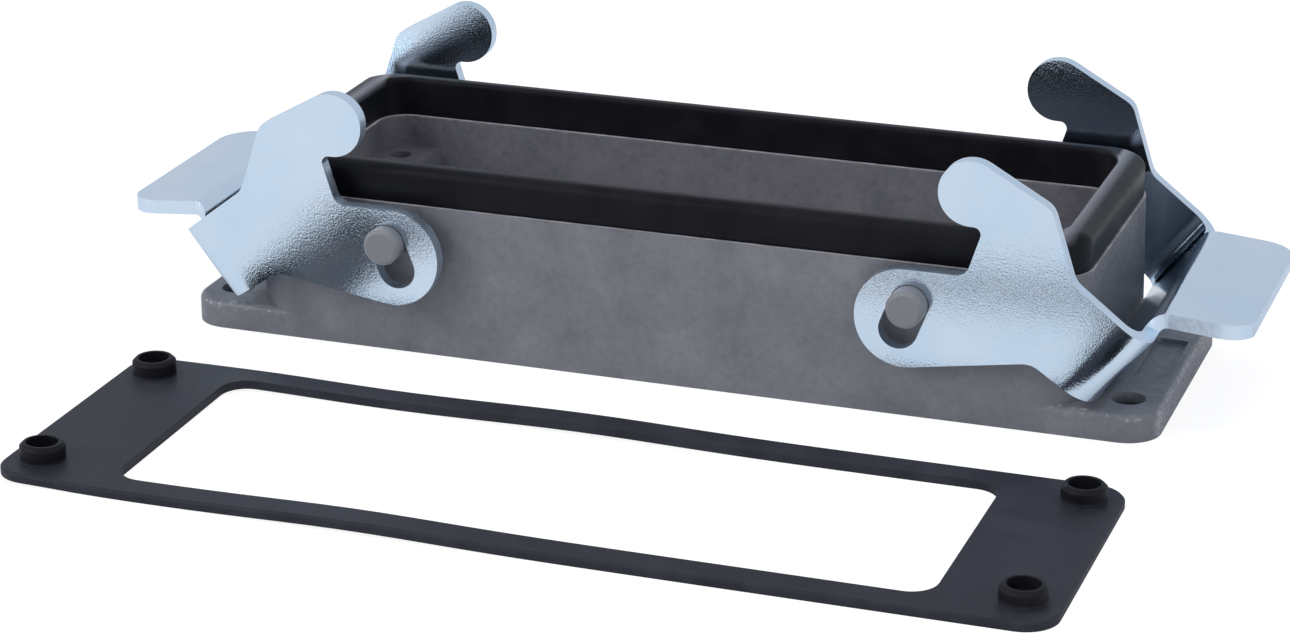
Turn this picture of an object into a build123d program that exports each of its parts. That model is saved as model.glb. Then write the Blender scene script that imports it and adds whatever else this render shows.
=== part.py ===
import math
import os
from build123d import *

# Bulkhead housing of a 24-pole rectangular connector, millimetres.
# The origin is the centre of the flange's four-hole pattern on its underside.
# X runs along the housing, Y across it and Z up out of the panel.

# Housing walls
body_length = 120.4
body_width = 44.4
body_height = 21.6
body_corner_radius = 6.8
wall_draft = 1.5
side_wall = 3.9
end_wall = 4.7
cavity_corner_radius = 4.0
cavity_draft = 0.8
inner_ledge_drop = 0.4

# Housing flange, as wide as the walls and longer by its reach at both ends
flange_reach = 9.7
flange_thickness = 4.0
flange_corner_radius = 5.0
flange_top_round = 0.9
hole_reach = 4.8
hole_side_inset = 6.2
flange_hole_diameter = 4.7
pocket_reach = 3.7
pocket_margin = 1.5
pocket_width = 15.6
pocket_depth = 0.6
pocket_corner_radius = 0.8

# Rim seal and the tongue that carries it
seal_height = 5.3
seal_roof = 1.5
seal_outer_leg = 0.8
seal_inner_leg = 0.75
seal_shoulder_inset = 0.3
seal_ledge_inset = 0.4
seal_side_round = 1.5
seal_end_round = 1.9
seal_inner_chamfer = 0.3
seal_fit = 0.05

# Corner bosses for the screws of the contact insert
insert_end_inset = 8.2
insert_side_inset = 8.7
insert_core_diameter = 3.3
boss_height = 16.5
boss_wall = 2.9
boss_corner_radius = 2.6
boss_embed = 1.0

# Bearing pegs of the levers
peg_diameter = 5.2
peg_inset = 23.0
peg_drop = 4.3
peg_length = 6.8
peg_chamfer = 0.5
peg_embed = 0.6

# Levers, folded from one sheet. Their outline is measured from the peg's centre.
# The arms have play on the pegs, and each lever has slid forward by its own float.
sheet_thickness = 2.0
lever_side_gap = 1.2
lever_end_gap = 0.25
right_lever_float = 0.4
left_lever_float = 0.9
slot_clearance = 0.1
slot_travel = 4.0
slot_lean = 21.0
arm_tip_reach = 7.5
arm_tip_face = 0.1
arm_top = 4.75
arm_top_corner_radius = 1.9
arm_underside_slope = 9.0
underside_peak_reach = 16.6
underside_peak_height = -6.3
underside_peak_radius = 3.3
throat_reach = 7.5
throat_lean = 17.8
throat_corner_radius = 1.0
hook_tip_reach = 3.45
hook_underside = 11.65
hook_head_radius = 4.4
hook_back_slope = 29.5
hook_tip_face = 0.1
shoulder_reach = 18.65
shoulder_radius = 2.85
waist_reach = 21.85
waist_height = 5.2
waist_radius = 3.0
web_angle = 52.0
web_lift = 1.5
web_face_height = 11.6
fold_inner_radius = 2.5

# Handle tab of the levers
tab_half_width = 17.5
tab_reach = 12.5
tab_droop = 5.0
tab_neck_rise = 1.85
tab_bend_radius = 1.0
tab_corner_radius = 4.5
tab_neck_radius = 2.8

# Flange gasket, lying on the table in front of the housing
gasket_side_inset = 0.25
gasket_thickness = 1.2
gasket_corner_radius = 4.6
gasket_end_bar = 15.65
gasket_side_bar = 4.2
gasket_opening_radius = 3.6
gasket_edge_chamfer = 0.3
gasket_boss_diameter = 6.0
gasket_boss_bore = 4.2
gasket_boss_rise = 2.4
gasket_boss_chamfer = 0.5
gasket_boss_clearance = 0.15
gasket_shift = 0.8
gasket_distance = 17.05

# Places that follow from the sizes above
body_half_length = body_length / 2
body_half_width = body_width / 2
flange_half_length = body_half_length + flange_reach
hole_spacing_x = body_length + 2 * hole_reach
hole_spacing_y = body_width - 2 * hole_side_inset
insert_spacing_x = body_length - 2 * insert_end_inset
insert_spacing_y = body_width - 2 * insert_side_inset
draft_slope = math.tan(math.radians(wall_draft))
shoulder_run_in = (body_height - flange_thickness) * draft_slope
shoulder_half_length = body_half_length - shoulder_run_in
shoulder_half_width = body_half_width - shoulder_run_in
shoulder_corner_radius = body_corner_radius - shoulder_run_in
ledge_height = body_height - inner_ledge_drop
cavity_half_length = shoulder_half_length - end_wall + seal_ledge_inset
cavity_half_width = shoulder_half_width - side_wall + seal_ledge_inset
seal_top = body_height + seal_height
seal_half_length = shoulder_half_length - seal_shoulder_inset
seal_half_width = shoulder_half_width - seal_shoulder_inset
seal_corner_radius = shoulder_corner_radius - seal_shoulder_inset
seal_bore_half_length = cavity_half_length + seal_ledge_inset
seal_bore_half_width = cavity_half_width + seal_ledge_inset
seal_bore_radius = cavity_corner_radius + seal_ledge_inset
tongue_top = seal_top - seal_roof
peg_x = body_half_length - peg_inset
peg_z = body_height - peg_drop
arm_inner = body_half_width + lever_side_gap
arm_outer = arm_inner + sheet_thickness
slot_width = peg_diameter + 2 * slot_clearance
gasket_half_width = body_half_width - gasket_side_inset


def rounded_prism(half_length, half_width, radius, bottom, top, draft=0.0):
    """A rectangular block with rounded upright corners, centred on the origin."""
    outline = RectangleRounded(2 * half_length, 2 * half_width, radius)
    return extrude(Pos(0, 0, bottom) * outline, amount=top - bottom, taper=draft)


def upright_bore(diameter, bottom, top):
    """A cylinder between two heights."""
    return extrude(Pos(0, 0, bottom) * Circle(diameter / 2), amount=top - bottom)


def four_corners(spacing_x, spacing_y):
    """The four places of a rectangular hole pattern."""
    return [Pos(side_x * spacing_x / 2, side_y * spacing_y / 2)
            for side_x in (-1, 1) for side_y in (-1, 1)]


def flange_plate():
    """The foot plate with its rounded rim."""
    plate = rounded_prism(flange_half_length, body_half_width, flange_corner_radius,
                          0, flange_thickness)
    return fillet(plate.faces().sort_by(Axis.Z)[-1].edges(), flange_top_round)


def outer_walls():
    """The outside of the walls, flush with the plate at the front and back."""
    foot = rounded_prism(body_half_length, body_half_width, body_corner_radius,
                         0, flange_thickness)
    upper = rounded_prism(body_half_length, body_half_width, body_corner_radius,
                          flange_thickness, body_height, wall_draft)
    return foot + upper


def tongue_outside(fit=0.0):
    """The outer outline of the lip on the walls, from the inner ledge to its top."""
    inset = seal_outer_leg - fit
    return rounded_prism(seal_half_length - inset, seal_half_width - inset,
                         seal_corner_radius - inset, ledge_height, tongue_top)


def tongue_inside(fit=0.0):
    """The inner outline of that lip."""
    offset = seal_inner_leg - fit
    return rounded_prism(seal_bore_half_length + offset, seal_bore_half_width + offset,
                         seal_bore_radius + offset, ledge_height, tongue_top)


def cavity():
    """The open middle of the housing, from the panel to the inner ledge."""
    run_in = ledge_height * math.tan(math.radians(cavity_draft))
    return rounded_prism(cavity_half_length - run_in, cavity_half_width - run_in,
                         cavity_corner_radius - run_in, 0, ledge_height, -cavity_draft)


def insert_boss(side_x, side_y):
    """One corner post, open at its inner corner, that the contact insert is screwed to."""
    reach = insert_core_diameter / 2 + boss_wall
    inner_x = insert_spacing_x / 2 - reach
    inner_y = insert_spacing_y / 2 - reach
    outer_x = cavity_half_length + boss_embed
    outer_y = cavity_half_width + boss_embed
    corners = [(outer_x, outer_y), (inner_x, outer_y), (inner_x, inner_y), (outer_x, inner_y)]
    points = [(side_x * x, side_y * y) for x, y in corners]
    outline = make_face(Polyline(*points, close=True))
    inner_corner = outline.vertices().sort_by_distance((0, 0, 0))[0]
    return extrude(fillet(inner_corner, boss_corner_radius), amount=boss_height, dir=(0, 0, 1))


def flange_pocket(side_x):
    """The shallow pocket in the plate's top, between the two holes of one end."""
    inner = body_half_length + pocket_reach
    outer = flange_half_length - pocket_margin
    outline = RectangleRounded(outer - inner, pocket_width, pocket_corner_radius)
    place = Pos(side_x * (inner + outer) / 2, 0, flange_thickness - pocket_depth)
    return extrude(place * outline, amount=pocket_depth)


def peg(side_x, side_y):
    """One bearing peg, cast on the side wall, that a lever hangs on."""
    wall = body_half_width - draft_slope * (peg_z - flange_thickness)
    length = peg_length + peg_embed
    shaft = Cylinder(peg_diameter / 2, length)
    shaft = chamfer(shaft.edges().sort_by(Axis.Z)[-1], peg_chamfer)
    middle = wall - peg_embed + length / 2
    return Pos(side_x * peg_x, side_y * middle, peg_z) * Rot(-90 * side_y, 0, 0) * shaft


def housing():
    """The die-cast housing with its flange, walls, rim tongue, bosses and pegs."""
    casting = flange_plate() + outer_walls() + tongue_outside()
    casting = casting - tongue_inside() - cavity()
    counterbore = gasket_boss_diameter + 2 * gasket_boss_clearance
    counterbore_depth = gasket_boss_rise + gasket_boss_clearance
    for side_x in (-1, 1):
        casting -= flange_pocket(side_x)
        for side_y in (-1, 1):
            casting += insert_boss(side_x, side_y)
            casting += peg(side_x, side_y)
    for place in four_corners(insert_spacing_x, insert_spacing_y):
        casting -= place * upright_bore(insert_core_diameter, 0, boss_height)
    for place in four_corners(hole_spacing_x, hole_spacing_y):
        casting -= place * upright_bore(flange_hole_diameter, 0, flange_thickness)
        casting -= place * upright_bore(counterbore, 0, counterbore_depth)
    return casting


def seal_crown():
    """The seal's side view, whose large rounds let its ends fall away to the outside."""
    height = seal_top - ledge_height
    outline = Pos(0, ledge_height + height / 2) * Rectangle(2 * seal_half_length, height)
    outline = fillet(outline.vertices().group_by(Axis.Y)[-1], seal_end_round)
    return extrude(Plane.XZ * outline, amount=seal_half_width, both=True)


def rim_seal():
    """The rubber collar with a groove that is pushed over the rim tongue."""
    collar = rounded_prism(seal_half_length, seal_half_width, seal_corner_radius,
                           body_height, seal_top)
    collar = fillet(collar.faces().sort_by(Axis.Z)[-1].edges(), seal_side_round)
    collar = collar & seal_crown()
    collar += tongue_inside(seal_fit)
    collar -= tongue_outside(seal_fit) - tongue_inside(seal_fit)
    collar -= rounded_prism(seal_bore_half_length, seal_bore_half_width, seal_bore_radius,
                            ledge_height, seal_top)
    top_face = collar.faces().sort_by(Axis.Z)[-1]
    return chamfer(top_face.inner_wires()[0].edges(), seal_inner_chamfer)


def flange_gasket():
    """The flat rubber gasket with a hollow boss at each flange hole."""
    sheet = rounded_prism(flange_half_length, gasket_half_width, gasket_corner_radius,
                          0, gasket_thickness)
    sheet = chamfer(sheet.faces().sort_by(Axis.Z)[-1].edges(), gasket_edge_chamfer)
    boss_top = gasket_thickness + gasket_boss_rise
    boss = upright_bore(gasket_boss_diameter, 0, boss_top)
    boss = chamfer(boss.edges().sort_by(Axis.Z)[-1], gasket_boss_chamfer)
    for place in four_corners(hole_spacing_x, hole_spacing_y):
        sheet += place * boss
    sheet -= rounded_prism(flange_half_length - gasket_end_bar,
                           gasket_half_width - gasket_side_bar,
                           gasket_opening_radius, 0, gasket_thickness)
    for place in four_corners(hole_spacing_x, hole_spacing_y):
        sheet -= place * upright_bore(gasket_boss_bore, 0, boss_top)
    distance = body_half_width + gasket_distance + gasket_half_width
    return Pos(gasket_shift, -distance) * sheet


def direction(angle):
    """A unit step in the XZ plane at an angle above the X axis."""
    return Vector(math.cos(math.radians(angle)), math.sin(math.radians(angle)))


def crossing(point, angle, other_point, other_angle):
    """Where two straight lines of the XZ plane meet."""
    step = direction(angle)
    other_step = direction(other_angle)
    gap = other_point - point
    turn = step.X * other_step.Y - step.Y * other_step.X
    return point + step * ((gap.X * other_step.Y - gap.Y * other_step.X) / turn)


def web_foot():
    """The lower inner corner of the web, just clear of the end wall, in the XZ plane."""
    height = flange_thickness + web_lift + sheet_thickness * math.cos(math.radians(web_angle))
    wall = body_half_length - draft_slope * (height - flange_thickness)
    return Vector(wall + lever_end_gap, height)


def lever_outline():
    """The side view of a lever, as a face in the XZ plane."""
    pivot = Vector(peg_x, peg_z)
    foot = web_foot() + direction(web_angle - 90) * sheet_thickness
    tip = pivot.X - arm_tip_reach
    top = pivot.Y + arm_top
    throat = Vector(pivot.X + throat_reach, top)
    throat_top = crossing(throat, 90 - throat_lean, pivot + Vector(0, hook_underside), 0)
    head_side = Vector(pivot.X + hook_tip_reach, throat_top.Y)
    head_centre = head_side + Vector(1, 1) * hook_head_radius + Vector(0, hook_tip_face)
    back = head_centre + direction(90 - hook_back_slope) * hook_head_radius
    head_top = crossing(head_side, 90, back, -hook_back_slope)
    shoulder = crossing(Vector(pivot.X + shoulder_reach, 0), 90, back, -hook_back_slope)
    waist = pivot + Vector(waist_reach, waist_height)
    web_end = foot + direction(web_angle) * web_face_height
    peak = pivot + Vector(underside_peak_reach, underside_peak_height)
    tip_low = crossing(Vector(tip, 0), 90, peak, arm_underside_slope)
    blunt = 1 / math.tan(math.radians((90 - arm_underside_slope) / 2))
    tip_radius = (top - tip_low.Y - arm_tip_face) / (1 + blunt)
    corners = [
        (Vector(tip, top), tip_radius),
        (throat, arm_top_corner_radius),
        (throat_top, throat_corner_radius),
        (head_side, hook_head_radius),
        (head_top, hook_head_radius),
        (shoulder, shoulder_radius),
        (waist, waist_radius),
        (web_end, 0),
        (foot, 0),
        (peak, underside_peak_radius),
        (tip_low, tip_radius),
    ]
    points = [(corner.X, corner.Y) for corner, _ in corners]
    radii = [radius for _, radius in corners]
    return make_face(Plane.XZ * FilletPolyline(*points, radius=radii, close=True))


def folded_channel():
    """The lever's two arms and its web, as one sheet bent twice."""
    foot = web_foot() + direction(web_angle - 90) * sheet_thickness
    reach = 2 * arm_tip_reach + (foot - Vector(peg_x, peg_z)).length
    outward = direction(web_angle - 90)
    along = direction(web_angle)
    bend_plane = Plane(origin=(foot.X, 0, foot.Y), x_dir=(outward.X, 0, outward.Y),
                       z_dir=(along.X, 0, along.Y))
    outer_radius = fold_inner_radius + sheet_thickness
    outside = Pos(-reach / 2, 0) * Rectangle(reach, 2 * arm_outer)
    outside = fillet(outside.vertices().group_by(Axis.X)[-1], outer_radius)
    inside = Pos(-reach / 2 - sheet_thickness, 0) * Rectangle(reach, 2 * arm_inner)
    inside = fillet(inside.vertices().group_by(Axis.X)[-1], fold_inner_radius)
    return extrude(bend_plane * (outside - inside), amount=2 * reach, both=True)


def tab_plan(root_x, neck_x, end_x):
    """The handle seen from above, as an upright prism."""
    root_width = tab_half_width + 2 * tab_neck_radius
    half = [(root_x, root_width, 0), (neck_x, root_width, 0),
            (neck_x, tab_half_width, tab_neck_radius), (end_x, tab_half_width, tab_corner_radius)]
    corners = half + [(x, -y, radius) for x, y, radius in reversed(half)]
    outline = FilletPolyline(*[(x, y) for x, y, _ in corners],
                             radius=[radius for _, _, radius in corners], close=True)
    return extrude(make_face(outline), amount=2 * body_height)


def handle_tab():
    """The handle, bent out of the web's upper end, with rounded outer corners."""
    foot = web_foot()
    outward = direction(web_angle - 90) * sheet_thickness
    down = direction(-tab_droop - 90) * sheet_thickness
    start = foot + direction(web_angle) * (web_face_height / 2)
    top_bend = foot + direction(web_angle) * (web_face_height + tab_neck_rise)
    tab_end = top_bend + direction(-tab_droop) * tab_reach
    under_bend = crossing(start + outward, web_angle, tab_end + down, -tab_droop)
    corners = [(start, 0), (top_bend, tab_bend_radius + sheet_thickness), (tab_end, 0),
               (tab_end + down, 0), (under_bend, tab_bend_radius), (start + outward, 0)]
    points = [(corner.X, corner.Y) for corner, _ in corners]
    radii = [radius for _, radius in corners]
    side = make_face(Plane.XZ * FilletPolyline(*points, radius=radii, close=True))
    strip = extrude(side, amount=tab_half_width + tab_neck_radius, both=True)
    neck = foot + direction(web_angle) * web_face_height
    return strip & tab_plan(start.X, neck.X, tab_end.X)


def peg_slot():
    """The slot of both arms, long enough for the lever to be lifted off its catch."""
    slot = Rot(0, 0, 90 - slot_lean) * SlotCenterToCenter(slot_travel, slot_width)
    middle = Vector(peg_x, peg_z) - direction(90 - slot_lean) * (slot_travel / 2)
    outline = Plane.XZ * (Pos(middle.X, middle.Y) * slot)
    return extrude(outline, amount=2 * arm_outer, both=True)


def lever():
    """The right locking lever, one folded sheet with two arms, two hooks and a handle."""
    side_view = extrude(lever_outline(), amount=2 * arm_outer, both=True)
    return (side_view & folded_channel()) + handle_tab() - peg_slot()


right_lever = lever()
nodes = {
    "housing": housing(),
    "rim_seal": rim_seal(),
    "lever_right": Pos(0, -right_lever_float) * right_lever,
    "lever_left": Pos(0, -left_lever_float) * mirror(right_lever, about=Plane.YZ),
    "flange_gasket": flange_gasket(),
}
os.makedirs("parts", exist_ok=True)
for name, shape in nodes.items():
    export_step(shape, "parts/" + name + ".step")
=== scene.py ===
import math
import bpy
import bmesh
from mathutils import Matrix, Vector
from mathutils.bvhtree import BVHTree


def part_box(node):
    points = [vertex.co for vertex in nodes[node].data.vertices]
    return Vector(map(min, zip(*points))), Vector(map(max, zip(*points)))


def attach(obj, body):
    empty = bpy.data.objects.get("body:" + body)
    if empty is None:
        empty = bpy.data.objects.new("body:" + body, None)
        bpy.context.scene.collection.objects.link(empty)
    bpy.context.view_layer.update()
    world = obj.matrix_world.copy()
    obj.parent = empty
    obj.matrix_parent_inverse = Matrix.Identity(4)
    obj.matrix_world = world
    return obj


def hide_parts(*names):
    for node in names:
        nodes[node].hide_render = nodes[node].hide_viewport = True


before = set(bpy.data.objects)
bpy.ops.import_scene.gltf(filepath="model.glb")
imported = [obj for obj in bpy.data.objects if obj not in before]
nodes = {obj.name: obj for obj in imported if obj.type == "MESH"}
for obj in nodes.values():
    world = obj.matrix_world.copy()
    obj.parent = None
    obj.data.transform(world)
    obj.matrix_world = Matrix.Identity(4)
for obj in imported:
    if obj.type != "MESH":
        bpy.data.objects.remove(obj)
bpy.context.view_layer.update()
print("frame loaded:", ", ".join(sorted(nodes)))

mm = 0.001

# Camera, at the photograph's viewing angle
photoCamera = {
    "place": (152.82 * mm, -460.29 * mm, 182.27 * mm),
    "azimuth": 19.33,       # degrees that it stands round to the right of the front
    "elevation": 20.41,     # degrees above the horizon
    "roll": 0.04,           # degrees
    "lens": 101.34,         # millimetres, as the sensor's width is
    "sensorWidth": 36.0,
    "clip": (0.01, 20.0),   # metres, the nearest and the farthest that it sees
}


def makeCamera(settings):
    data = bpy.data.cameras.new("photoCamera")
    data.lens = settings["lens"]
    data.sensor_width = settings["sensorWidth"]
    data.sensor_fit = "HORIZONTAL"
    data.clip_start, data.clip_end = settings["clip"]
    camera = bpy.data.objects.new("photoCamera", data)
    bpy.context.scene.collection.objects.link(camera)
    turn = Matrix.Rotation(math.radians(settings["azimuth"]), 4, "Z")
    tilt = Matrix.Rotation(math.radians(90 - settings["elevation"]), 4, "X")
    roll = Matrix.Rotation(math.radians(settings["roll"]), 4, "Z")
    camera.matrix_world = Matrix.Translation(settings["place"]) @ turn @ tilt @ roll
    bpy.context.scene.camera = camera


makeCamera(photoCamera)
print("camera placed")


# Small helpers for the node materials
def startMaterial(name):
    material = bpy.data.materials.new(name)
    material.use_nodes = True
    tree = material.node_tree
    return material, tree, tree.nodes["Principled BSDF"]


def addNode(tree, kind, **settings):
    node = tree.nodes.new(kind)
    for key, value in settings.items():
        setattr(node, key, value)
    return node


def objectNoise(tree, scale, detail=2.0, roughness=0.5, distortion=0.0):
    place = addNode(tree, "ShaderNodeTexCoord")
    noise = addNode(tree, "ShaderNodeTexNoise")
    noise.inputs["Scale"].default_value = scale
    noise.inputs["Detail"].default_value = detail
    noise.inputs["Roughness"].default_value = roughness
    noise.inputs["Distortion"].default_value = distortion
    tree.links.new(place.outputs["Object"], noise.inputs["Vector"])
    return noise.outputs["Fac"]


def ramp(tree, factor, stops):
    node = addNode(tree, "ShaderNodeValToRGB")
    node.color_ramp.interpolation = "EASE"
    elements = node.color_ramp.elements
    while len(elements) < len(stops):
        elements.new(0.5)
    for element, (position, colour) in zip(elements, stops):
        element.position = position
        element.color = (*colour, 1.0)
    tree.links.new(factor, node.inputs["Fac"])
    return node.outputs["Color"]


def mixColours(tree, factor, first, second, kind="MIX"):
    node = addNode(tree, "ShaderNodeMix", data_type="RGBA", blend_type=kind)
    if isinstance(factor, float):
        node.inputs[0].default_value = factor
    else:
        tree.links.new(factor, node.inputs[0])
    for socket, value in ((node.inputs[6], first), (node.inputs[7], second)):
        if isinstance(value, tuple):
            socket.default_value = (*value, 1.0)
        else:
            tree.links.new(value, socket)
    return node.outputs[2]


def spread(tree, factor, low, high, limits=(0.3, 0.7)):
    node = addNode(tree, "ShaderNodeMapRange")
    node.inputs["From Min"].default_value = limits[0]
    node.inputs["From Max"].default_value = limits[1]
    node.inputs["To Min"].default_value = low
    node.inputs["To Max"].default_value = high
    tree.links.new(factor, node.inputs["Value"])
    return node.outputs["Result"]


def rise(tree, factor, limits):     # from 0 to 1 between the limits
    return spread(tree, factor, 0.0, 1.0, limits)


def fall(tree, factor, limits):     # from 1 to 0 between the limits
    return spread(tree, factor, 1.0, 0.0, limits)


def combine(tree, operation, first, second=None):
    node = addNode(tree, "ShaderNodeMath", operation=operation)
    for socket, value in zip(node.inputs, (first, second)):
        if isinstance(value, (int, float)):
            socket.default_value = value
        elif value is not None:
            tree.links.new(value, socket)
    return node.outputs[0]


def product(tree, result, *factors):
    for factor in factors:
        result = combine(tree, "MULTIPLY", result, factor)
    return result


def placeAlong(tree, axis):
    place = addNode(tree, "ShaderNodeTexCoord")
    split = addNode(tree, "ShaderNodeSeparateXYZ")
    tree.links.new(place.outputs["Object"], split.inputs[0])
    return split.outputs[axis]


def fromCentre(tree, axis):
    return combine(tree, "ABSOLUTE", placeAlong(tree, axis))


def upwardFaces(tree, limits):
    surface = addNode(tree, "ShaderNodeNewGeometry")
    split = addNode(tree, "ShaderNodeSeparateXYZ")
    tree.links.new(surface.outputs["Normal"], split.inputs[0])
    return rise(tree, split.outputs["Z"], limits)


def bump(tree, height, strength, distance, normal=None):
    node = addNode(tree, "ShaderNodeBump")
    node.inputs["Strength"].default_value = strength
    node.inputs["Distance"].default_value = distance
    tree.links.new(height, node.inputs["Height"])
    if normal is not None:
        tree.links.new(normal, node.inputs["Normal"])
    return node.outputs["Normal"]


# Grey powder coat with a hammered skin, on the die casting. The first of a pair of lengths or
# shares is where something begins to change, and the second where it has changed in full
housingPaint = {
    "patches": {"scale": 130, "detail": 4.0, "roughness": 0.6},
    "patchColours": [
        (0.30, (0.146, 0.150, 0.171)),
        (0.50, (0.177, 0.180, 0.202)),
        (0.72, (0.210, 0.212, 0.229)),
    ],
    "skin": {"scale": 950, "roughness": 0.45, "distortion": 0.6},
    "skinHeight": 0.17 * mm,
    "skinStrength": 0.6,
    "pitTints": [(0.25, (0.80, 0.80, 0.82)), (0.62, (1.0, 1.0, 1.0))],
    "pitShare": 0.6,
    "grain": {"scale": 4200, "detail": 1.0},
    "grainHeight": 0.0425 * mm,
    "grainStrength": 0.35,
    "roughness": (0.34, 0.52),
    "specular": 0.55,
    "upward": (0.2, 0.6),   # the upward part of the normal of a face that counts as a top
    "pegs": {               # the ends of the four pegs, in a lighter colour
        "across": (27.8 * mm, 28.0 * mm),
        "colour": (0.205, 0.208, 0.225),
    },
    "ledges": {             # painted highlight on the top faces of the ledges round the seal, broken into patches
        "above": (20.9 * mm, 21.0 * mm),
        "noise": {"scale": 330, "detail": 3.0},
        "share": (0.40, 0.60),
        "least": 0.45,
        "colour": (0.50, 0.48, 0.52),
    },
    "inside": {             # painted shade inside the cavity, darkest on top of the bosses
        "across": (19.3 * mm, 19.6 * mm),
        "along": (56.3 * mm, 56.6 * mm),
        "below": (20.9 * mm, 21.0 * mm),
        "wallShade": (0.80, 0.77, 0.80),
        "bossShade": (0.62, 0.60, 0.62),
    },
    "ends": {               # the flange's two end faces: a real rough speckle, with painted light making them paler
        "along": (69.2 * mm, 69.7 * mm),
        "noise": {"scale": 1900, "detail": 3.0, "roughness": 0.65},
        "share": (0.40, 0.62),
        "colour": (0.42, 0.42, 0.45),
    },
    "chips": {              # specks of bare metal along the flange's long edges, near its ends
        "along": (54.5 * mm, 58.0 * mm),
        "across": (21.0 * mm, 21.4 * mm),
        "above": (2.7 * mm, 3.3 * mm),
        "below": (4.2 * mm, 4.4 * mm),
        "noise": {"scale": 1100, "detail": 3.0, "roughness": 0.7},
        "share": (0.57, 0.65),
        "colour": (0.38, 0.375, 0.395),
    },
}


def hammeredColour(tree, settings, skin):
    colour = ramp(tree, objectNoise(tree, **settings["patches"]), settings["patchColours"])
    pits = ramp(tree, skin, settings["pitTints"])
    return mixColours(tree, settings["pitShare"], colour, pits, "MULTIPLY")


# Paints a highlight on the upward faces of the ledges round the seal, in patches
def rubLedges(tree, colour, ledges, top, height):
    patchy = spread(tree, objectNoise(tree, **ledges["noise"]), ledges["least"], 1.0,
                    ledges["share"])
    rubbed = product(tree, top, patchy, rise(tree, height, ledges["above"]))
    return mixColours(tree, rubbed, colour, ledges["colour"])


# Paints shade inside the cavity, and more of it on the tops of the bosses
def dullInside(tree, colour, inside, top, along, across, height):
    within = product(tree, fall(tree, across, inside["across"]),
                     fall(tree, along, inside["along"]), fall(tree, height, inside["below"]))
    colour = mixColours(tree, within, colour, inside["wallShade"], "MULTIPLY")
    bosses = product(tree, within, top)
    return mixColours(tree, bosses, colour, inside["bossShade"], "MULTIPLY")


# Speckles the flange's end faces with a paler colour: the speckle is their rough skin, the
# paleness is painted light
def roughenEnds(tree, colour, ends, along):
    rough = product(tree, rise(tree, objectNoise(tree, **ends["noise"]), ends["share"]),
                    rise(tree, along, ends["along"]))
    return mixColours(tree, rough, colour, ends["colour"])


def chipEdges(tree, colour, chips, along, across, height):
    worn = product(tree, rise(tree, objectNoise(tree, **chips["noise"]), chips["share"]),
                   rise(tree, along, chips["along"]), rise(tree, across, chips["across"]),
                   rise(tree, height, chips["above"]), fall(tree, height, chips["below"]))
    return mixColours(tree, worn, colour, chips["colour"])


def makeHousingPaint(settings):
    material, tree, shader = startMaterial("housingPaint")
    skin = objectNoise(tree, **settings["skin"])
    grain = objectNoise(tree, **settings["grain"])
    along, across = fromCentre(tree, "X"), fromCentre(tree, "Y")
    height = placeAlong(tree, "Z")
    top = upwardFaces(tree, settings["upward"])
    colour = hammeredColour(tree, settings, skin)
    pegEnds = rise(tree, across, settings["pegs"]["across"])
    colour = mixColours(tree, pegEnds, colour, settings["pegs"]["colour"])
    colour = rubLedges(tree, colour, settings["ledges"], top, height)
    colour = dullInside(tree, colour, settings["inside"], top, along, across, height)
    colour = roughenEnds(tree, colour, settings["ends"], along)
    colour = chipEdges(tree, colour, settings["chips"], along, across, height)
    tree.links.new(colour, shader.inputs["Base Color"])
    tree.links.new(spread(tree, skin, *settings["roughness"]), shader.inputs["Roughness"])
    normal = bump(tree, skin, settings["skinStrength"], settings["skinHeight"])
    normal = bump(tree, grain, settings["grainStrength"], settings["grainHeight"], normal)
    tree.links.new(normal, shader.inputs["Normal"])
    shader.inputs["Specular IOR Level"].default_value = settings["specular"]
    return material


# Bluish zinc plating on the folded steel levers: bright on the rolled sheet, dull on its cut edges
leverZinc = {
    "name": "leverZinc",
    "tint": {"scale": 90, "detail": 3.0, "roughness": 0.55},
    "tintColours": [(0.30, (0.60, 0.735, 0.865)), (0.70, (0.66, 0.765, 0.87))],
    "roughness": (0.07, 0.13),
    "roll": {"scale": 520},         # faint waviness of the rolled sheet
    "rollHeight": 0.018 * mm,
    "rollStrength": 0.5,
    "grain": {"scale": 3600, "roughness": 0.6},     # fine pickled grain under the plating
    "grainHeight": 0.027 * mm,
    "grainStrength": 0.6,
    "fold": {               # how full each fold is, by the depth inside the web's outer face
        "facing": (0.788, -0.616),  # the way that face points, outwards and up
        "place": 45.51 * mm,        # how far from the centre that face lies
        "reach": 6.0 * mm,          # depth at which the curve ends
        "lowest": -0.04 * mm,       # height at the curve's bottom
        "range": 0.5 * mm,          # height from its bottom to its top
        "crown": [                  # depth and height, in millimetres
            (0.0, 0.4415), (0.35, 0.4412), (0.7, 0.427), (1.1, 0.392), (1.5, 0.342),
            (2.0, 0.2565), (2.5, 0.154), (3.0, 0.0557), (3.4, -0.001), (3.8, -0.031),
            (4.1, -0.0385), (4.4, -0.029), (4.7, -0.013), (5.1, -0.002), (5.6, 0.0), (6.0, 0.0),
        ],
    },
}
cutZinc = {
    **leverZinc,
    "name": "cutZinc",
    "roughness": (0.34, 0.46),
    "grain": {"scale": 1500, "roughness": 0.6},
    "grainHeight": 0.09 * mm,
}


def foldHeight(tree, fold):
    outwards = combine(tree, "MULTIPLY", fromCentre(tree, "X"), fold["facing"][0])
    upwards = combine(tree, "MULTIPLY", placeAlong(tree, "Z"), fold["facing"][1])
    depth = combine(tree, "SUBTRACT", fold["place"], combine(tree, "ADD", outwards, upwards))
    curve = addNode(tree, "ShaderNodeFloatCurve")
    points = curve.mapping.curves[0].points
    while len(points) < len(fold["crown"]):
        points.new(0.5, 0.5)
    for point, (distance, height) in zip(points, fold["crown"]):
        point.location = (distance * mm / fold["reach"],
                          (height * mm - fold["lowest"]) / fold["range"])
    curve.mapping.update()
    tree.links.new(combine(tree, "DIVIDE", depth, fold["reach"]), curve.inputs["Value"])
    return curve.outputs["Value"]


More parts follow.
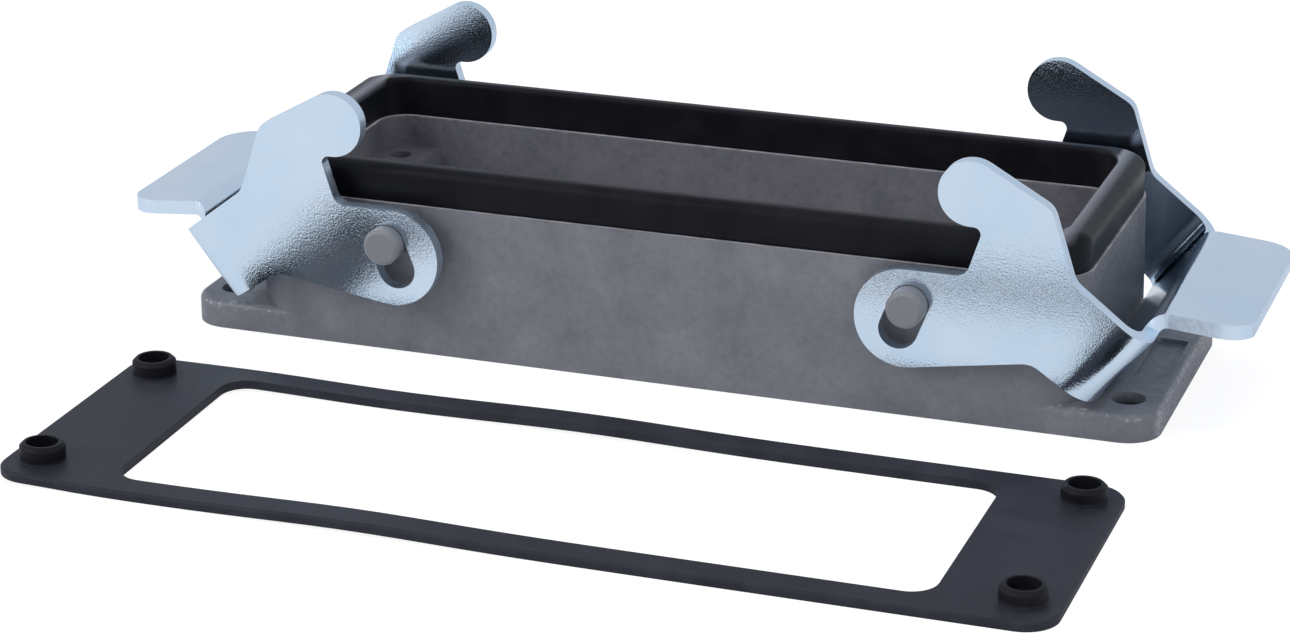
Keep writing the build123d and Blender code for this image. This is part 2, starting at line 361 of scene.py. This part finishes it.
def makeLeverZinc(settings):
    material, tree, shader = startMaterial(settings["name"])
    tint = objectNoise(tree, **settings["tint"])
    roll = objectNoise(tree, **settings["roll"])
    grain = objectNoise(tree, **settings["grain"])
    tree.links.new(ramp(tree, tint, settings["tintColours"]), shader.inputs["Base Color"])
    tree.links.new(spread(tree, grain, *settings["roughness"]), shader.inputs["Roughness"])
    normal = bump(tree, roll, settings["rollStrength"], settings["rollHeight"])
    normal = bump(tree, grain, settings["grainStrength"], settings["grainHeight"], normal)
    fold = settings["fold"]
    normal = bump(tree, foldHeight(tree, fold), 1.0, fold["range"], normal)
    tree.links.new(normal, shader.inputs["Normal"])
    shader.inputs["Metallic"].default_value = 1.0
    return material


# Black moulded rubber, for the rim seal and for the flat gasket
sealRubber = {
    "name": "sealRubber",
    "patches": {"scale": 160, "detail": 5.0, "roughness": 0.6},
    "patchColours": [(0.30, (0.006, 0.006, 0.009)), (0.75, (0.011, 0.011, 0.014))],
    "skin": {"scale": 1500, "detail": 3.0},
    "skinHeight": 0.03 * mm,
    "skinStrength": 0.3,
    "roughness": (0.30, 0.42),
    "specular": 0.10,
    "edgeRadius": 0.9 * mm,
    "edgeSamples": 6,
    "bloom": {              # painted light on the two end bars: a shading tone of their own, and a painted highlight on their crest, strongest at its inner edge
        "ends": (55.2 * mm, 55.8 * mm),
        "crest": (25.6 * mm, 26.6 * mm),
        "fade": (56.1 * mm, 57.9 * mm),
        "endShadingColour": (0.010, 0.011, 0.015),
        "crestHighlightColour": (0.20, 0.205, 0.235),
    },
}
gasketRubber = {
    "name": "gasketRubber",
    "patches": {"scale": 120, "detail": 5.0, "roughness": 0.6},
    "patchColours": [(0.30, (0.020, 0.021, 0.028)), (0.75, (0.034, 0.036, 0.047))],
    "skin": {"scale": 1300, "detail": 3.0},
    "skinHeight": 0.05 * mm,
    "skinStrength": 0.3,
    "roughness": (0.42, 0.60),
    "specular": 0.15,
    "edgeRadius": 0.25 * mm,
    "edgeSamples": 6,
    "bosses": {             # the four bosses are darker
        "above": (1.75 * mm, 1.95 * mm),
        "tint": (0.30, 0.28, 0.30),
    },
}


# Paints the seal's two ends: a shading tone over each end bar, and a highlight on its crest
def bloomEnds(tree, colour, bloom):
    along = fromCentre(tree, "X")
    ends = rise(tree, along, bloom["ends"])
    colour = mixColours(tree, ends, colour, bloom["endShadingColour"])
    crest = product(tree, rise(tree, placeAlong(tree, "Z"), bloom["crest"]),
                    fall(tree, along, bloom["fade"]), ends)
    return mixColours(tree, crest, colour, bloom["crestHighlightColour"])


def makeRubber(settings):
    material, tree, shader = startMaterial(settings["name"])
    patches = objectNoise(tree, **settings["patches"])
    skin = objectNoise(tree, **settings["skin"])
    colour = ramp(tree, patches, settings["patchColours"])
    if "bosses" in settings:
        raised = rise(tree, placeAlong(tree, "Z"), settings["bosses"]["above"])
        colour = mixColours(tree, raised, colour, settings["bosses"]["tint"], "MULTIPLY")
    if "bloom" in settings:
        colour = bloomEnds(tree, colour, settings["bloom"])
    tree.links.new(colour, shader.inputs["Base Color"])
    tree.links.new(spread(tree, patches, *settings["roughness"]), shader.inputs["Roughness"])
    rounded = addNode(tree, "ShaderNodeBevel", samples=settings["edgeSamples"])
    rounded.inputs["Radius"].default_value = settings["edgeRadius"]
    normal = bump(tree, skin, settings["skinStrength"], settings["skinHeight"],
                  rounded.outputs["Normal"])
    tree.links.new(normal, shader.inputs["Normal"])
    shader.inputs["Specular IOR Level"].default_value = settings["specular"]
    return material


# A finished piece starts from its node's own solid, gets its small edge rounds and smooth
# shading, and then stands for the node
finishing = {
    "weld": 0.002 * mm,     # points nearer than this become one
    "flatAngle": 0.6,       # degrees; faces that turn less than this become one
    "profile": 0.5,
    "faceWeight": 100,      # how much a large face's normal counts more than a small one's
}


def takeSolid(node, name):
    mesh = bpy.data.meshes.new(name)
    shape = bmesh.new()
    shape.from_mesh(nodes[node].data)
    bmesh.ops.remove_doubles(shape, verts=shape.verts, dist=finishing["weld"])
    bmesh.ops.dissolve_limit(shape, angle_limit=math.radians(finishing["flatAngle"]),
                             verts=shape.verts, edges=shape.edges,
                             use_dissolve_boundaries=False)
    return mesh, shape


def finishPiece(mesh, shape, name, node, body, materials, edges):
    shape.normal_update()
    shape.to_mesh(mesh)
    shape.free()
    for material in materials:
        mesh.materials.append(material)
    for face in mesh.polygons:
        face.use_smooth = True
    piece = bpy.data.objects.new(name, mesh)
    bpy.context.scene.collection.objects.link(piece)
    soften = piece.modifiers.new("edgeRounds", "BEVEL")
    soften.width = edges["width"]
    soften.segments = edges["segments"]
    soften.profile = finishing["profile"]
    soften.limit_method = "ANGLE"
    soften.angle_limit = math.radians(edges["angle"])
    soften.use_clamp_overlap = True
    shade = piece.modifiers.new("flatFaces", "WEIGHTED_NORMAL")
    shade.mode = "FACE_AREA"
    shade.weight = finishing["faceWeight"]
    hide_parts(node)
    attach(piece, body)


housingPiece = {"width": 0.18 * mm, "segments": 2, "angle": 28}


def makeHousing(settings, material):
    mesh, shape = takeSolid("housing", "housingShell")
    finishPiece(mesh, shape, "housingShell", "housing", "base",
                [material], settings)


leverPiece = {
    "width": 0.28 * mm,
    "segments": 3,
    "angle": 35,
    "sheetDepth": (1.9 * mm, 2.1 * mm),     # metal behind a rolled face; other faces are cut
    "rayStart": 0.01 * mm,  # how deep below the face the ray that measures it starts
}


def middles(shape):
    largest = {}            # face: area and centre of its largest triangle
    for loops in shape.calc_loop_triangles():
        face = loops[0].face
        first, second, third = (loop.vert.co for loop in loops)
        area = (second - first).cross(third - first).length
        if area > largest.get(face, (0.0, None))[0]:
            largest[face] = (area, (first + second + third) / 3)
    return [(face, centre) for face, (area, centre) in largest.items()]


def markCutEdges(shape, settings):
    shape.normal_update()
    solid = BVHTree.FromBMesh(shape)
    low, high = settings["sheetDepth"]
    for face, centre in middles(shape):
        start = centre - settings["rayStart"] * face.normal
        depth = solid.ray_cast(start, -face.normal)[3]
        if depth is None or not low < depth < high:
            face.material_index = 1


def makeLever(side, settings, materials):
    name = side + "Lever"
    mesh, shape = takeSolid("lever_" + side, name)
    markCutEdges(shape, settings)
    finishPiece(mesh, shape, name, "lever_" + side, side + "_lever", materials,
                settings)


sealPiece = {"width": 0.12 * mm, "segments": 2, "angle": 30}


def makeSeal(settings, material):
    mesh, shape = takeSolid("rim_seal", "rimSeal")
    finishPiece(mesh, shape, "rimSeal", "rim_seal", "base", [material], settings)


gasketPiece = {
    "width": 0.15 * mm,
    "segments": 2,
    "angle": 30,
    "cutStep": 4.0 * mm,    # the gasket is cut this often along its length, so that it can bend
    "cutMerge": 0.001 * mm,
    "waves": [              # where the loose gasket lifts off the table: x, y, reach in x, height
        (-19.0 * mm, -81.0 * mm, 16.0 * mm, 0.45 * mm),
        (-50.0 * mm, -41.5 * mm, 14.0 * mm, 0.40 * mm),
        (-3.0 * mm, -41.5 * mm, 18.0 * mm, 0.50 * mm),
        (-66.0 * mm, -81.0 * mm, 9.0 * mm, 0.40 * mm),
        (-66.0 * mm, -45.0 * mm, 9.0 * mm, 0.25 * mm),
    ],
    "barReach": 9.0 * mm,   # how far across the gasket a wave is felt
    "leftPull": 0.28 * mm,  # how much further in the lifted left end lies
}


def makeGasket(settings, material):
    mesh, shape = takeSolid("flange_gasket", "flangeGasket")
    low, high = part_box("flange_gasket")
    cuts = int((high.x - low.x) / settings["cutStep"])
    for index in range(1, cuts):
        place = Vector((low.x + index * (high.x - low.x) / cuts, 0, 0))
        geometry = shape.verts[:] + shape.edges[:] + shape.faces[:]
        bmesh.ops.bisect_plane(shape, geom=geometry, dist=settings["cutMerge"],
                               plane_co=place, plane_no=(1, 0, 0))
    for point in shape.verts:
        leftShare = max(0.0, point.co.x / low.x)    # 0 up to the middle, 1 at the left end
        point.co.x += settings["leftPull"] * leftShare
        for x, y, reach, height in settings["waves"]:
            along = (point.co.x - x) / reach
            across = (point.co.y - y) / settings["barReach"]
            point.co.z += height * math.exp(-along * along - across * across)
    finishPiece(mesh, shape, "flangeGasket", "flange_gasket", "base",
                [material], settings)


paint = makeHousingPaint(housingPaint)
zinc = [makeLeverZinc(settings) for settings in (leverZinc, cutZinc)]
makeHousing(housingPiece, paint)
for side in ("left", "right"):
    makeLever(side, leverPiece, zinc)
makeSeal(sealPiece, makeRubber(sealRubber))
makeGasket(gasketPiece, makeRubber(gasketRubber))
print("pieces made")

# Floor, world and lamps
studio = {
    "floorColour": (0.86, 0.86, 0.87),
    "floorRoughness": 0.9,
    "floorGlow": 0.75,      # share of plain white that the camera sees on the floor
    "glowStrength": 1.18,
    "floorSize": 6.0,       # metres
    "skyColour": (0.94, 0.99, 1.08),
    "skyLight": 0.44,       # strength that lights the object
    "skyInMetal": 0.70,     # strength that reflections show
    "backdrop": (1.0, 1.0, 1.0),    # what the camera sees behind the floor
    "lamps": [              # name, place, aim, width, height, watts, whether metal mirrors it
        ("overhead", (0.0, 0.05, 0.95), (0.0, -0.02, 0.0), 0.9, 0.7, 4.5, False),
        ("leftFront", (-0.75, -0.75, 0.55), (0.0, -0.02, 0.02), 0.6, 0.6, 5.0, True),
        ("rightFront", (0.95, -0.45, 0.30), (0.0, -0.02, 0.02), 0.5, 0.5, 1.0, True),
    ],
}


def blendShaders(tree, share, first, second):
    blend = addNode(tree, "ShaderNodeMixShader")
    for number, output in enumerate((share, first, second)):
        tree.links.new(output, blend.inputs[number])
    return blend.outputs[0]


def makeFloor(settings):
    mesh = bpy.data.meshes.new("floor")
    shape = bmesh.new()
    bmesh.ops.create_grid(shape, x_segments=1, y_segments=1, size=settings["floorSize"] / 2)
    shape.to_mesh(mesh)
    shape.free()
    floor = bpy.data.objects.new("floor", mesh)
    bpy.context.scene.collection.objects.link(floor)
    material, tree, shader = startMaterial("floorPaper")
    shader.inputs["Base Color"].default_value = (*settings["floorColour"], 1.0)
    shader.inputs["Roughness"].default_value = settings["floorRoughness"]
    shader.inputs["Specular IOR Level"].default_value = 0.0
    glow = addNode(tree, "ShaderNodeEmission")
    glow.inputs["Strength"].default_value = settings["glowStrength"]
    rays = addNode(tree, "ShaderNodeLightPath")
    share = combine(tree, "MULTIPLY", rays.outputs["Is Camera Ray"], settings["floorGlow"])
    paper = blendShaders(tree, share, shader.outputs[0], glow.outputs[0])
    tree.links.new(paper, tree.nodes["Material Output"].inputs["Surface"])
    mesh.materials.append(material)


def makeWorld(settings):
    world = bpy.data.worlds.new("studio")
    bpy.context.scene.world = world
    world.use_nodes = True
    tree = world.node_tree
    rays = addNode(tree, "ShaderNodeLightPath")
    sky = tree.nodes["Background"]
    sky.inputs["Color"].default_value = (*settings["skyColour"], 1.0)
    sky.inputs["Strength"].default_value = settings["skyLight"]
    result = sky.outputs[0]
    for ray, colour, strength in (("Is Glossy Ray", settings["skyColour"], settings["skyInMetal"]),
                                  ("Is Camera Ray", settings["backdrop"], 1.0)):
        shown = addNode(tree, "ShaderNodeBackground")
        shown.inputs["Color"].default_value = (*colour, 1.0)
        shown.inputs["Strength"].default_value = strength
        result = blendShaders(tree, rays.outputs[ray], result, shown.outputs[0])
    tree.links.new(result, tree.nodes["World Output"].inputs["Surface"])


def makeLamps(settings):
    for name, place, aim, width, height, power, mirrored in settings["lamps"]:
        data = bpy.data.lights.new(name, "AREA")
        data.shape = "RECTANGLE"
        data.size = width
        data.size_y = height
        data.energy = power
        lamp = bpy.data.objects.new(name, data)
        lamp.visible_glossy = mirrored
        lamp.location = place
        lamp.rotation_euler = (Vector(aim) - Vector(place)).to_track_quat("-Z", "Y").to_euler()
        bpy.context.scene.collection.objects.link(lamp)


makeFloor(studio)
makeWorld(studio)
makeLamps(studio)
bpy.context.scene.view_settings.view_transform = "Standard"
print("studio lit")
